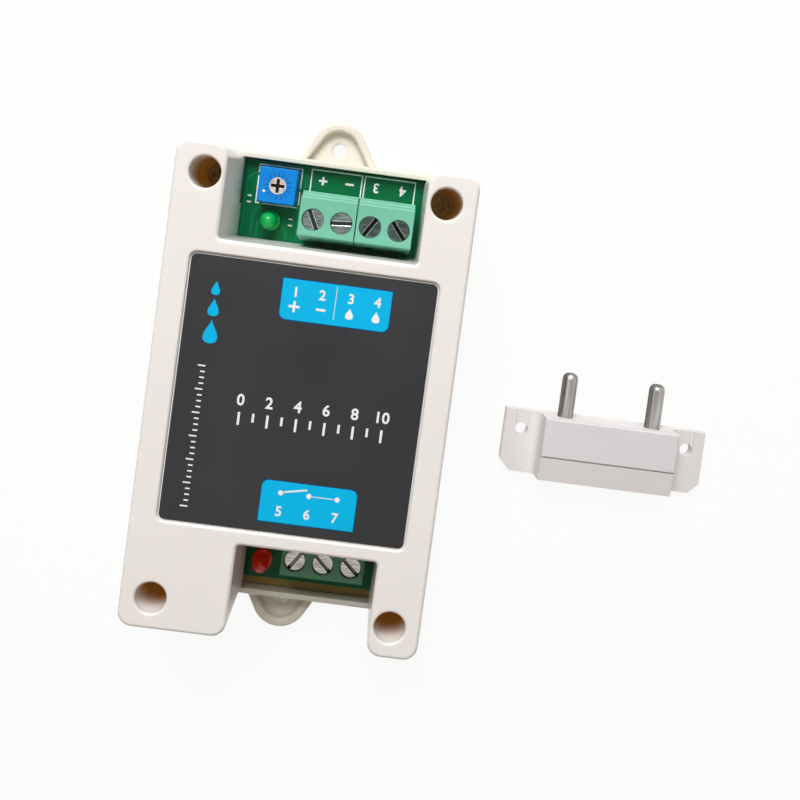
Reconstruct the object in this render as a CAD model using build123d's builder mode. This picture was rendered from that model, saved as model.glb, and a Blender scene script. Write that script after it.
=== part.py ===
from build123d import *

import math
import os

# Case: a deep cover screwed down on a shallow tray
case_width = 51.3
case_length = 83.2
case_height = 28.0
case_corner = 2.5
tray_height = 9.5
tray_wall = 1.1
tray_floor = 1.8
cover_wall = 1.8
cover_roof = 2.2
top_chamfer = 0.4
bay_corner = 0.7
rim_chamfer = 0.25
seam_chamfer = 0.25
foot_chamfer = 0.5

# Bays: open ends of the cover above the terminals, between the legs that stand on the tray
post_width = 8.7
wide_leg_width = 18.45
bay_depth = 16.1
skirt_gap = 0.2

# Cover screws in deep wells at the four corners
well_inset_x = 5.25
well_inset_y = 5.3
well_diameter = 5.4
well_floor = 1.6
well_wall = 1.4
cover_screw_diameter = 2.9
cover_screw_length = 8.8
cover_screw_head = 4.8
cover_screw_head_height = 1.9
cover_screw_clearance = 0.25
pilot_gap = 0.02
driver_slot = 0.7
driver_span = 2.8
driver_depth = 1.0

# Fixing ears on the tray's two ends
ear_reach = 7.85
ear_radius = 5.4
ear_root_width = 15.2
ear_rim = 1.6
ear_height = 4.5
ear_floor = 2.5
ear_edge = 0.35
ear_hole = 3.0
ear_hole_offset = 2.6

# Front label, a film in a shallow recess
label_side_margin = 4.8
label_end_margin = 2.85
label_corner = 1.0
label_thickness = 0.25
label_gap = 0.3
label_recess = 0.5

# Circuit board on four stand-offs
board_rest = 5.4
board_thickness = 1.6
board_gap = 0.2
corner_block_gap = 0.3
corner_block_reach = 4.2
standoff_inset_x = 5.35
standoff_offset_y = 1.5
standoff_diameter = 5.0
lead_hole_gap = 0.15
lead_tail = 1.8

# Screw terminals: a captive screw lifts a cage and presses the wire against a fixed contact
pole_pitch = 5.08
block_gap = 0.16
terminal_floor = 0.8
clamp_head = 3.7
clamp_head_height = 1.5
clamp_head_gap = 0.1
clamp_shank = 2.5
clamp_thread_gap = 0.05
clamp_slot_width = 0.7
clamp_slot_depth = 0.8
cage_width = 3.8
cage_depth = 4.0
cage_side = 0.6
cage_base = 0.7
cage_top = 1.3
cage_gap = 0.25
contact_gap = 0.1
contact_thickness = 0.7
contact_width = 2.4
contact_leg_width = 1.0
contact_leg_thickness = 0.6
contact_leg_gap = 0.3
entry_flare = 0.45
entry_flare_depth = 0.9
rear_window_width = 2.2
rear_window_rise = 0.9
ledge_drop = 1.3

# Tall two-way terminals in the top bay
tall_height = 13.5
tall_window = 3.3
tall_head_sink = 0.8
tall_foot = 4.1
tall_knee = 5.5
tall_back = 2.9
tall_front = 3.9
tall_reach = 5.0
tall_row_offset = 5.1
tall_side_gap = 1.31
tall_slot_angles = [116.0, 5.0, 58.0, 129.0]

# Low three-way terminal in the bottom bay
low_height = 10.6
low_window = 2.7
low_head_sink = 0.6
low_foot = 4.2
low_knee = 4.0
low_back = 3.6
low_front = 2.7
low_reach = 3.6
low_row_offset = 5.65
low_side_gap = 1.78
low_slot_angles = [56.0, 137.0, 138.0]

# Trimmer that sets the alarm's sensitivity
trimmer_width = 7.0
trimmer_length = 6.6
trimmer_height = 4.9
trimmer_side_gap = 3.45
trimmer_end_gap = 5.8
trimmer_edge = 0.25
trimmer_top_edge = 0.15
rotor_diameter = 3.1
rotor_height = 1.8
rotor_sink = 0.15
rotor_gap = 0.05
rotor_slot = 0.65
rotor_slot_length = 2.6
rotor_slot_depth = 0.8
trimmer_lead = 0.6
trimmer_lead_pitch = 2.54

# Two 3 mm indicator lamps
led_diameter = 3.0
led_height = 5.0
led_flange = 3.8
led_flange_height = 1.0
dome_steps = 4
led_lead = 0.5
led_lead_pitch = 2.54
green_led_side = 5.9
green_led_inset = 12.4
red_led_side = 3.0
red_led_inset = 6.3

# Parts on the board under the cover
relay_width = 19.0
relay_length = 15.4
relay_headroom = 3.3
relay_edge = 0.6
relay_top_edge = 0.3
relay_side_gap = 9.45
relay_wall_gap = 3.0
relay_pin = 0.9
relay_coil_span = 12.0
relay_contact_x = 7.1
chip_length = 4.9
chip_width = 3.9
chip_height = 1.5
chip_lead_reach = 1.05
chip_lead_width = 0.42
chip_lead_pitch = 1.27
chip_lead_thickness = 0.2
chip_rows = 4
chip_resistor_gap = 7.5
chip_diode_gap = 11.0
can_diameter = 6.3
can_height = 11.0
can_edge = 0.5
can_lead = 0.6
can_lead_pitch = 2.5
can_side_gap = 5.3
can_wall_gap = 5.55
regulator_width = 4.5
regulator_length = 2.5
regulator_height = 1.5
regulator_lead_width = 0.5
regulator_lead_pitch = 1.5
regulator_lead_reach = 1.0
regulator_can_gap = 9.0
regulator_wall_gap = 7.7
transistor_width = 2.9
transistor_length = 1.3
transistor_height = 1.0
transistor_lead_width = 0.4
transistor_lead_pitch = 1.9
transistor_lead_reach = 0.5
transistor_chip_gap = 6.0
flat_lead = 0.25
diode_length = 4.3
diode_width = 2.6
diode_height = 2.2
diode_regulator_gap = 11.0
diode_wall_gap = 6.7
diode_spacing = 8.0
chip_part_length = 2.0
chip_part_width = 1.25
resistor_height = 0.5
ceramic_height = 0.9
resistor_side_gap = 5.95
resistor_diode_gap = 14.0
resistor_spacing = 4.2
resistor_count = 6
ceramic_relay_shift = 3.0
ceramic_relay_gap = 2.0
ceramic_spacing = 4.0
ceramic_count = 4

# Water probe lying beside the case: a flanged block with two pins
probe_distance = 33.5
probe_y = -7.45
flange_length = 39.8
flange_depth = 12.2
flange_thickness = 2.4
flange_chamfer = 2.0
flange_hole = 2.5
flange_hole_spacing = 33.0
flange_hole_y = 2.3
flange_groove = 0.4
probe_block_length = 26.0
probe_block_height = 7.6
probe_block_slope = 0.7
probe_root_round = 1.5
lid_depth = 7.6
lid_thickness = 1.8
lid_proud = 0.3
lid_seam = 0.12
lid_edge_chamfer = 0.2
probe_wall = 2.2
probe_pocket_gap = 0.3
pin_diameter = 3.0
pin_spacing = 17.2
pin_reach = 8.7
pin_tail = 2.6
pin_axis_height = 3.9
pin_tip = 1.2
pin_gap = 0.02

# Places worked out from the sizes above
board_top = board_rest + board_thickness
bay_edge = case_width / 2 - post_width
wide_leg_edge = wide_leg_width - case_width / 2
bay_wall_y = case_length / 2 - bay_depth
screw_x = case_width / 2 - well_inset_x
screw_y = case_length / 2 - well_inset_y
screw_seat = tray_height + well_floor
corner_block_x = bay_edge + corner_block_gap
corner_block_y = screw_y - corner_block_reach
skirt_foot = board_top + skirt_gap
label_width = case_width - 2 * label_side_margin
label_length = 2 * (bay_wall_y - label_end_margin)
label_bed = case_height - label_recess
standoff_x = case_width / 2 - standoff_inset_x
standoff_y = bay_wall_y + standoff_offset_y
tall_row_y = bay_wall_y + tall_row_offset
low_row_y = -(bay_wall_y + low_row_offset)
tall_width = 2 * pole_pitch
low_width = 3 * pole_pitch
sensor_x = bay_edge - tall_side_gap - tall_width / 2
power_x = sensor_x - tall_width
low_centre_x = bay_edge - low_side_gap - low_width / 2
trimmer_x = trimmer_side_gap + trimmer_width / 2 - bay_edge
trimmer_y = case_length / 2 - trimmer_end_gap
green_led_x = green_led_side - bay_edge
green_led_y = case_length / 2 - green_led_inset
red_led_x = wide_leg_edge + red_led_side
red_led_y = -(case_length / 2 - red_led_inset)
cage_foot = terminal_floor + cage_gap
window_low = cage_foot + cage_base
cavity_half_width = cage_width / 2 + contact_gap
cavity_front = cage_depth / 2 + contact_gap
contact_leg_face = cage_depth / 2 + contact_leg_gap
contact_leg_back = contact_leg_face + contact_leg_thickness
contact_leg_centre = contact_leg_face + contact_leg_thickness / 2
cavity_back = contact_leg_back + contact_gap
side_face = case_width / 2 - cover_wall
end_face = bay_wall_y - cover_wall
relay_height = case_height - cover_roof - relay_headroom - board_top
relay_x = side_face - relay_side_gap - relay_width / 2
relay_y = relay_wall_gap + relay_length / 2 - end_face
can_x = side_face - can_side_gap - can_diameter / 2
can_y = end_face - can_wall_gap - can_diameter / 2
regulator_x = can_x - regulator_can_gap
regulator_y = end_face - regulator_wall_gap
diode_x = regulator_x - diode_regulator_gap
diode_y = end_face - diode_wall_gap
resistor_x = resistor_side_gap - side_face
resistor_y = diode_y - resistor_diode_gap
chip_x = resistor_x + chip_resistor_gap
chip_y = diode_y - chip_diode_gap
transistor_x = chip_x
transistor_y = chip_y - transistor_chip_gap
ceramic_x = relay_x - ceramic_relay_shift
ceramic_y = relay_y + relay_length / 2 + ceramic_relay_gap + chip_part_length / 2
probe_x = case_width / 2 + probe_distance
bays = [(-bay_edge, bay_edge, 1), (wide_leg_edge, bay_edge, -1)]


# Heights inside a terminal, counted from the board
def window_top(window):
    return window_low + window


def contact_top(window):
    return window_top(window) - contact_gap


def contact_bottom(window):
    return contact_top(window) - contact_thickness


def cage_travel(window):
    return contact_bottom(window) - contact_gap - window_low


def cavity_top(window):
    return window_top(window) + cage_top + cage_travel(window) + cage_gap


def pole_places(centre_x, poles):
    return [centre_x + (pole - (poles - 1) / 2) * pole_pitch for pole in range(poles)]


# Plane whose first axis runs outwards from the screw row and whose second runs up from the board
def section_plane(x, row_y, outward):
    return Plane(origin=(x, row_y, board_top), x_dir=(0, outward, 0), z_dir=(outward, 0, 0))


# Upright plane on the board, seen from the case's bottom end
def front_plane(x, y):
    return Plane(origin=(x, y, board_top), x_dir=(1, 0, 0), z_dir=(0, -1, 0))


# Plane across the wire's path, facing outwards at a distance from the screw row
def wire_plane(x, row_y, outward, distance, height):
    place = (x, row_y + outward * distance, board_top + height)
    return Plane(origin=place, x_dir=(outward, 0, 0), z_dir=(0, -outward, 0))


# Points of a quarter round, from its foot on the outside to its crown
def dome_points(x, y, radius):
    angles = [step * math.pi / 2 / dome_steps for step in range(dome_steps + 1)]
    return [(x + radius * math.cos(angle), y + radius * math.sin(angle)) for angle in angles]


# Plan of the cover: a plate with both ends cut back between its legs
with BuildSketch() as cover_plan:
    Rectangle(case_width, case_length)
    for left, right, end in bays:
        with Locations(((left + right) / 2, end * case_length / 2)):
            Rectangle(right - left, 2 * bay_depth, mode=Mode.SUBTRACT)
    bay_line = bay_wall_y + bay_corner
    fillet(cover_plan.vertices().filter_by(lambda v: abs(v.Y) > bay_line), case_corner)
    fillet(cover_plan.vertices().filter_by(lambda v: abs(v.Y) < bay_line), bay_corner)

# Top cover: shell with hollow legs, screw wells, label recess and skirts down to the board
with BuildPart() as top_cover:
    with BuildSketch(Plane.XY.offset(tray_height)):
        add(cover_plan.sketch)
    extrude(amount=case_height - tray_height)
    chamfer(top_cover.faces().sort_by(Axis.Z)[-1].edges(), top_chamfer)
    chamfer(top_cover.faces().sort_by(Axis.Z)[0].edges(), seam_chamfer)
    with BuildSketch(Plane.XY.offset(tray_height)):
        offset(cover_plan.sketch, amount=-cover_wall, kind=Kind.INTERSECTION, mode=Mode.ADD)
        boss_radius = well_diameter / 2 + well_wall
        with GridLocations(2 * screw_x, 2 * screw_y, 2, 2):
            Circle(boss_radius, mode=Mode.SUBTRACT)
        boss_width = well_inset_x + boss_radius
        with GridLocations(case_width - boss_width, case_length - well_inset_y, 2, 2):
            Rectangle(boss_width, well_inset_y, mode=Mode.SUBTRACT)
    extrude(amount=case_height - cover_roof - tray_height, mode=Mode.SUBTRACT)
    skirt_run = corner_block_y - corner_block_gap - bay_wall_y
    for left, right, end in bays:
        middle = (left + right) / 2
        with BuildSketch(Plane.XY.offset(skirt_foot)):
            with Locations((middle, end * (bay_wall_y + (skirt_run - cover_wall) / 2))):
                Rectangle(right - left + 2 * cover_wall, skirt_run + cover_wall)
            with Locations((middle, end * (bay_wall_y + skirt_run / 2))):
                Rectangle(right - left, skirt_run, mode=Mode.SUBTRACT)
        extrude(amount=tray_height + cover_wall - skirt_foot)
    with Locations((0, 0, case_height)):
        with GridLocations(2 * screw_x, 2 * screw_y, 2, 2):
            CounterBoreHole(
                radius=cover_screw_diameter / 2 + cover_screw_clearance,
                counter_bore_radius=well_diameter / 2,
                counter_bore_depth=case_height - screw_seat,
            )
    with BuildSketch(Plane.XY.offset(label_bed)):
        RectangleRounded(
            label_width + 2 * label_gap,
            label_length + 2 * label_gap,
            label_corner + label_gap,
        )
    extrude(amount=label_recess, mode=Mode.SUBTRACT)
    top_face = top_cover.faces().sort_by(Axis.Z)[-1]
    chamfer([edge for wire in top_face.inner_wires() for edge in wire.edges()], rim_chamfer)

# Base tray: floor, rim, corner blocks for the screws, stand-offs and two dished ears
with BuildPart() as base_tray:
    with BuildSketch():
        RectangleRounded(case_width, case_length, case_corner)
    extrude(amount=tray_height)
    chamfer(base_tray.faces().sort_by(Axis.Z)[-1].edges(), seam_chamfer)
    corner_block_width = case_width / 2 - corner_block_x
    corner_block_length = case_length / 2 - corner_block_y
    with BuildSketch(Plane.XY.offset(tray_floor)):
        Rectangle(case_width - 2 * tray_wall, case_length - 2 * tray_wall)
        with GridLocations(case_width - corner_block_width, case_length - corner_block_length, 2, 2):
            Rectangle(corner_block_width, corner_block_length, mode=Mode.SUBTRACT)
    extrude(amount=tray_height - tray_floor, mode=Mode.SUBTRACT)
    with BuildSketch(Plane.XY.offset(tray_floor)):
        with GridLocations(2 * standoff_x, 2 * standoff_y, 2, 2):
            Circle(standoff_diameter / 2)
    extrude(amount=board_rest - tray_floor)
    ear_centre = case_length / 2 + ear_reach - ear_radius
    with BuildSketch():
        with Locations((0, ear_centre)):
            Circle(ear_radius)
        with BuildLine():
            Line((-ear_root_width / 2, case_length / 2), (ear_root_width / 2, case_length / 2))
        make_hull()
        mirror(about=Plane.XZ)
    extrude(amount=ear_height)
    dish_half_width = ear_root_width / 2 - ear_rim
    with BuildSketch(Plane.XY.offset(ear_floor)):
        with Locations((0, ear_centre)):
            Circle(ear_radius - ear_rim)
        with BuildLine():
            Line((-dish_half_width, case_length / 2), (dish_half_width, case_length / 2))
        make_hull()
        mirror(about=Plane.XZ)
        with BuildSketch(mode=Mode.PRIVATE) as inside_case:
            Rectangle(case_width, case_length)
        add(inside_case.sketch, mode=Mode.SUBTRACT)
    extrude(amount=ear_height - ear_floor, mode=Mode.SUBTRACT)
    rim_edges = base_tray.edges().filter_by(
        lambda edge: abs(edge.center().Z - ear_height) < ear_edge / 2
        and abs(edge.center().Y) > case_length / 2 + ear_edge / 2
    )
    chamfer(rim_edges, ear_edge)
    ear_hole_y = case_length / 2 + ear_hole_offset
    with Locations((0, ear_hole_y, ear_height), (0, -ear_hole_y, ear_height)):
        Hole(ear_hole / 2)
    with Locations((0, 0, tray_height)):
        with GridLocations(2 * screw_x, 2 * screw_y, 2, 2):
            Hole(cover_screw_diameter / 2 + pilot_gap, depth=tray_height - tray_floor)
    chamfer(base_tray.faces().sort_by(Axis.Z)[0].outer_wire().edges(), foot_chamfer)

# Four cheese-head screws that hold the cover on the tray
with BuildPart() as cover_screws:
    with GridLocations(2 * screw_x, 2 * screw_y, 2, 2):
        with Locations((0, 0, screw_seat)):
            Cylinder(
                cover_screw_head / 2,
                cover_screw_head_height,
                align=(Align.CENTER, Align.CENTER, Align.MIN),
            )
            Cylinder(
                cover_screw_diameter / 2,
                cover_screw_length,
                align=(Align.CENTER, Align.CENTER, Align.MAX),
            )
    with BuildSketch(Plane.XY.offset(screw_seat + cover_screw_head_height)):
        with GridLocations(2 * screw_x, 2 * screw_y, 2, 2):
            Rectangle(driver_span, driver_slot)
            Rectangle(driver_slot, driver_span)
    extrude(amount=-driver_depth, mode=Mode.SUBTRACT)

# Front label film
with BuildPart() as front_label:
    with BuildSketch(Plane.XY.offset(label_bed)):
        RectangleRounded(label_width, label_length, label_corner)
    extrude(amount=label_thickness)


# Terminal housing: stepped block with a screw bore, a cage cavity and a wire entry for each pole
def terminal_housing(centre_x, row_y, outward, poles, height, window, head_sink, outline):
    foot, knee, back, front, reach = outline
    ledge = (reach - front) / 2
    seat = height - head_sink - clamp_head_height - clamp_thread_gap
    entry_width = cage_width - 2 * cage_side
    entry_height = contact_bottom(window) - window_low
    entry_middle = window_low + entry_height / 2
    with BuildPart() as housing:
        with BuildSketch(section_plane(centre_x, row_y, outward)):
            with BuildLine():
                Polyline(
                    (-foot, 0),
                    (-foot, knee),
                    (-back, height),
                    (front, height),
                    (front, height - ledge_drop),
                    (front + ledge, height - ledge_drop),
                    (front + ledge, height - 2 * ledge_drop),
                    (reach, height - 2 * ledge_drop),
                    (reach, 0),
                    close=True,
                )
            make_face()
        extrude(amount=(poles * pole_pitch - block_gap) / 2, both=True)
        for x in pole_places(centre_x, poles):
            with Locations((x, row_y, board_top + height)):
                CounterBoreHole(
                    radius=clamp_shank / 2 + clamp_head_gap,
                    counter_bore_radius=clamp_head / 2 + clamp_head_gap,
                    counter_bore_depth=height - seat,
                    depth=height - cavity_top(window) / 2,
                )
            with BuildSketch(section_plane(x, row_y, outward)):
                with Locations(((cavity_front - cavity_back) / 2, terminal_floor)):
                    Rectangle(
                        cavity_front + cavity_back,
                        cavity_top(window) - terminal_floor,
                        align=(Align.CENTER, Align.MIN),
                    )
            extrude(amount=cavity_half_width, both=True, mode=Mode.SUBTRACT)
            mouth = wire_plane(x, row_y, outward, reach, entry_middle)
            with BuildSketch(mouth):
                Rectangle(entry_width + 2 * entry_flare, entry_height + 2 * entry_flare)
            with BuildSketch(mouth.offset(entry_flare_depth)):
                Rectangle(entry_width, entry_height)
            loft(mode=Mode.SUBTRACT)
            with BuildSketch(mouth.offset(entry_flare_depth)):
                Rectangle(entry_width, entry_height)
            extrude(amount=reach - entry_flare_depth, mode=Mode.SUBTRACT)
            rear_window_height = knee + rear_window_rise - terminal_floor
            window_middle = terminal_floor + rear_window_height / 2
            with BuildSketch(wire_plane(x, row_y, outward, -cavity_back, window_middle)):
                Rectangle(rear_window_width, rear_window_height)
            extrude(amount=foot, mode=Mode.SUBTRACT)
            leg_y = row_y - outward * contact_leg_centre
            with BuildSketch(Plane.XY.offset(board_top)):
                with Locations((x, leg_y)):
                    Rectangle(
                        contact_leg_width + 2 * contact_gap,
                        contact_leg_thickness + 2 * contact_gap,
                    )
            extrude(amount=terminal_floor, mode=Mode.SUBTRACT)
    return housing.part


# Fixed contacts: a bar through each cage that turns down into a solder leg
def terminal_contacts(centre_x, row_y, outward, poles, window):
    bar_low = contact_bottom(window)
    bar_high = contact_top(window)
    bar_end = cage_depth / 2 - contact_gap
    with BuildPart() as contacts:
        for x in pole_places(centre_x, poles):
            with BuildSketch(section_plane(x, row_y, outward)):
                with Locations(((bar_end - contact_leg_back) / 2, (bar_low + bar_high) / 2)):
                    Rectangle(bar_end + contact_leg_back, contact_thickness)
            extrude(amount=contact_width / 2, both=True)
            with BuildSketch(section_plane(x, row_y, outward)):
                with Locations((-contact_leg_centre, bar_high)):
                    Rectangle(
                        contact_leg_thickness,
                        bar_high + board_thickness + lead_tail,
                        align=(Align.CENTER, Align.MAX),
                    )
            extrude(amount=contact_leg_width / 2, both=True)
    return contacts.part


# Clamp screw: slotted cheese head on a plain shank that ends on the contact bar
def clamp_screw(x, row_y, height, head_sink, window, slot_angle):
    head_top = board_top + height - head_sink
    tip = board_top + contact_top(window) + contact_gap
    with BuildPart() as screw:
        with BuildSketch(Plane.XY.offset(head_top)):
            with Locations((x, row_y)):
                Circle(clamp_head / 2)
        extrude(amount=-clamp_head_height)
        with BuildSketch(Plane.XY.offset(tip)):
            with Locations((x, row_y)):
                Circle(clamp_shank / 2)
        extrude(amount=head_top - clamp_head_height - tip)
        with BuildSketch(Plane.XY.offset(head_top)):
            with Locations((x, row_y)):
                Rectangle(2 * clamp_head, clamp_slot_width, rotation=slot_angle)
        extrude(amount=-clamp_slot_depth, mode=Mode.SUBTRACT)
    return screw.part


# Rising cage: square loop round the contact bar, threaded on the screw at its top
def clamp_cage(x, row_y, window):
    cage_height = cage_base + window + cage_top
    with BuildPart() as cage:
        with BuildSketch(front_plane(x, row_y)):
            with Locations((0, cage_foot)):
                Rectangle(cage_width, cage_height, align=(Align.CENTER, Align.MIN))
            with Locations((0, window_low)):
                Rectangle(
                    cage_width - 2 * cage_side,
                    window,
                    align=(Align.CENTER, Align.MIN),
                    mode=Mode.SUBTRACT,
                )
        extrude(amount=cage_depth / 2, both=True)
        with Locations((x, row_y, board_top + cage_foot + cage_height)):
            Hole(clamp_shank / 2 + clamp_thread_gap, depth=cage_top + window / 2)
    return cage.part


# Three terminal blocks with their contacts, screws and cages
tall_outline = (tall_foot, tall_knee, tall_back, tall_front, tall_reach)
low_outline = (low_foot, low_knee, low_back, low_front, low_reach)
tall_form = (tall_height, tall_window, tall_head_sink, tall_outline)
low_form = (low_height, low_window, low_head_sink, low_outline)
terminals = [
    ("power", power_x, tall_row_y, 1, tall_slot_angles[:2], tall_form),
    ("sensor", sensor_x, tall_row_y, 1, tall_slot_angles[2:], tall_form),
    ("relay", low_centre_x, low_row_y, -1, low_slot_angles, low_form),
]
terminal_pieces = {}
leg_places = []
for name, centre_x, row_y, outward, angles, form in terminals:
    height, window, head_sink, outline = form
    poles = len(angles)
    terminal_pieces[name + "_terminal"] = terminal_housing(
        centre_x, row_y, outward, poles, height, window, head_sink, outline
    )
    terminal_pieces[name + "_terminal_contacts"] = terminal_contacts(
        centre_x, row_y, outward, poles, window
    )
    for number, (x, angle) in enumerate(zip(pole_places(centre_x, poles), angles), start=1):
        screw = clamp_screw(x, row_y, height, head_sink, window, angle)
        terminal_pieces[f"{name}_clamp_screw_{number}"] = screw
        terminal_pieces[f"{name}_clamp_cage_{number}"] = clamp_cage(x, row_y, window)
        leg_places.append((x, row_y - outward * contact_leg_centre))

# Trimmer body with a blind bore for its rotor
with BuildPart() as trimmer_body:
    with BuildSketch(Plane.XY.offset(board_top)):
        with Locations((trimmer_x, trimmer_y)):
            Rectangle(trimmer_width, trimmer_length)
    extrude(amount=trimmer_height)
    chamfer(trimmer_body.edges().filter_by(Axis.Z), trimmer_edge)
    chamfer(trimmer_body.faces().sort_by(Axis.Z)[-1].edges(), trimmer_top_edge)
    with Locations((trimmer_x, trimmer_y, board_top + trimmer_height)):
        Hole(rotor_diameter / 2 + rotor_gap, depth=rotor_sink + rotor_height + rotor_gap)

# Trimmer rotor: round disc with a cross slot
rotor_top = board_top + trimmer_height - rotor_sink
with BuildPart() as trimmer_rotor:
    with BuildSketch(Plane.XY.offset(rotor_top)):
        with Locations((trimmer_x, trimmer_y)):
            Circle(rotor_diameter / 2)
    extrude(amount=-rotor_height)
    with BuildSketch(Plane.XY.offset(rotor_top)):
        with Locations((trimmer_x, trimmer_y)):
            Rectangle(rotor_slot_length, rotor_slot)
            Rectangle(rotor_slot, rotor_slot_length)
    extrude(amount=-rotor_slot_depth, mode=Mode.SUBTRACT)

# Trimmer leads through the board
trimmer_lead_places = [
    (trimmer_x - trimmer_lead_pitch, trimmer_y - trimmer_lead_pitch),
    (trimmer_x + trimmer_lead_pitch, trimmer_y - trimmer_lead_pitch),
    (trimmer_x, trimmer_y + trimmer_lead_pitch),
]
with BuildPart() as trimmer_leads:
    with BuildSketch(Plane.XY.offset(board_top)):
        with Locations(*trimmer_lead_places):
            Rectangle(trimmer_lead, trimmer_lead)
    extrude(amount=-board_thickness - lead_tail)


# Indicator lamp: flanged cylinder with a dome in a few cones
def indicator_lamp(x, y):
    with BuildPart() as lamp:
        with BuildSketch(front_plane(x, y)):
            with BuildLine():
                dome_foot = led_height - led_diameter / 2
                Polyline(
                    (0, led_height),
                    (0, 0),
                    (led_flange / 2, 0),
                    (led_flange / 2, led_flange_height),
                    (led_diameter / 2, led_flange_height),
                    *dome_points(0, dome_foot, led_diameter / 2)[:-1],
                    close=True,
                )
            make_face()
        revolve(axis=Axis((x, y, 0), (0, 0, 1)))
    return lamp.part


green_led = indicator_lamp(green_led_x, green_led_y)
red_led = indicator_lamp(red_led_x, red_led_y)

# Lamp leads through the board
led_lead_places = [
    (x + side * led_lead_pitch / 2, y)
    for x, y in ((green_led_x, green_led_y), (red_led_x, red_led_y))
    for side in (-1, 1)
]
with BuildPart() as led_leads:
    with BuildSketch(Plane.XY.offset(board_top)):
        with Locations(*led_lead_places):
            Rectangle(led_lead, led_lead)
    extrude(amount=-board_thickness - lead_tail)

# Relay: sealed box with five pins
with BuildPart() as relay:
    with BuildSketch(Plane.XY.offset(board_top)):
        with Locations((relay_x, relay_y)):
            Rectangle(relay_width, relay_length)
    extrude(amount=relay_height)
    chamfer(relay.edges().filter_by(Axis.Z), relay_edge)
    chamfer(relay.faces().sort_by(Axis.Z)[-1].edges(), relay_top_edge)

relay_pin_places = [
    (relay_x - relay_contact_x, relay_y - relay_coil_span / 2),
    (relay_x - relay_contact_x, relay_y + relay_coil_span / 2),
    (relay_x + relay_contact_x, relay_y - relay_coil_span / 2),
    (relay_x + relay_contact_x, relay_y + relay_coil_span / 2),
    (relay_x - relay_contact_x, relay_y),
]
with BuildPart() as relay_pins:
    with BuildSketch(Plane.XY.offset(board_top)):
        with Locations(*relay_pin_places):
            Rectangle(relay_pin, relay_pin)
    extrude(amount=-board_thickness - lead_tail)

# Smoothing capacitor: round can with two leads
can_lead_places = [(can_x + side * can_lead_pitch / 2, can_y) for side in (-1, 1)]
with BuildPart() as smoothing_capacitor:
    with BuildSketch(Plane.XY.offset(board_top)):
        with Locations((can_x, can_y)):
            Circle(can_diameter / 2)
    extrude(amount=can_height)
    chamfer(smoothing_capacitor.edges().sort_by(Axis.Z)[-1], can_edge)
    with BuildSketch(Plane.XY.offset(board_top)):
        with Locations(*can_lead_places):
            Rectangle(can_lead, can_lead)
    extrude(amount=-board_thickness - lead_tail)

# Circuit board with notched corners and an opening for every lead
lead_openings = [
    (leg_places, contact_leg_width, contact_leg_thickness),
    (trimmer_lead_places, trimmer_lead, trimmer_lead),
    (led_lead_places, led_lead, led_lead),
    (relay_pin_places, relay_pin, relay_pin),
    (can_lead_places, can_lead, can_lead),
]
with BuildPart() as circuit_board:
    board_width = case_width - 2 * (tray_wall + board_gap)
    board_length = case_length - 2 * (tray_wall + board_gap)
    notch_width = board_width / 2 - (corner_block_x - board_gap)
    notch_length = board_length / 2 - (corner_block_y - board_gap)
    with BuildSketch(Plane.XY.offset(board_rest)):
        Rectangle(board_width, board_length)
        with GridLocations(board_width - notch_width, board_length - notch_length, 2, 2):
            Rectangle(notch_width, notch_length, mode=Mode.SUBTRACT)
        for places, lead_width, lead_depth in lead_openings:
            with Locations(*places):
                Rectangle(
                    lead_width + 2 * lead_hole_gap,
                    lead_depth + 2 * lead_hole_gap,
                    mode=Mode.SUBTRACT,
                )
    extrude(amount=board_thickness)

# Comparator chip with eight bent leads
with BuildPart() as comparator_chip:
    with BuildSketch(Plane.XY.offset(board_top + chip_lead_thickness)):
        with Locations((chip_x, chip_y)):
            Rectangle(chip_width, chip_length)
    extrude(amount=chip_height - chip_lead_thickness)
    for row in range(chip_rows):
        lead_y = chip_y + (row - (chip_rows - 1) / 2) * chip_lead_pitch
        with BuildSketch(front_plane(chip_x, lead_y)):
            with BuildLine():
                Polyline(
                    (chip_width / 2, chip_height / 2),
                    (chip_width / 2 + chip_lead_reach / 2, chip_height / 2),
                    (chip_width / 2 + chip_lead_reach / 2, chip_lead_thickness),
                    (chip_width / 2 + chip_lead_reach, chip_lead_thickness),
                    (chip_width / 2 + chip_lead_reach, 0),
                    (chip_width / 2 + chip_lead_reach / 2 - chip_lead_thickness, 0),
                    (
                        chip_width / 2 + chip_lead_reach / 2 - chip_lead_thickness,
                        chip_height / 2 - chip_lead_thickness,
                    ),
                    (chip_width / 2, chip_height / 2 - chip_lead_thickness),
                    close=True,
                )
            make_face()
            mirror(about=Plane.YZ)
        extrude(amount=chip_lead_width / 2, both=True)

# Voltage regulator: flat body with three leads on one side and a wide tab on the other
with BuildPart() as voltage_regulator:
    with BuildSketch(Plane.XY.offset(board_top)):
        with Locations((regulator_x, regulator_y)):
            Rectangle(regulator_width, regulator_length)
    extrude(amount=regulator_height)
    regulator_edge = regulator_y - regulator_length / 2
    with BuildSketch(Plane.XY.offset(board_top)):
        with Locations((regulator_x, regulator_edge)):
            with GridLocations(regulator_lead_pitch, 0, 3, 1):
                Rectangle(
                    regulator_lead_width,
                    regulator_lead_reach,
                    align=(Align.CENTER, Align.MAX),
                )
        with Locations((regulator_x, regulator_y + regulator_length / 2)):
            Rectangle(
                regulator_width - 2 * regulator_lead_width,
                regulator_lead_reach / 2,
                align=(Align.CENTER, Align.MIN),
            )
    extrude(amount=flat_lead)

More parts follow.
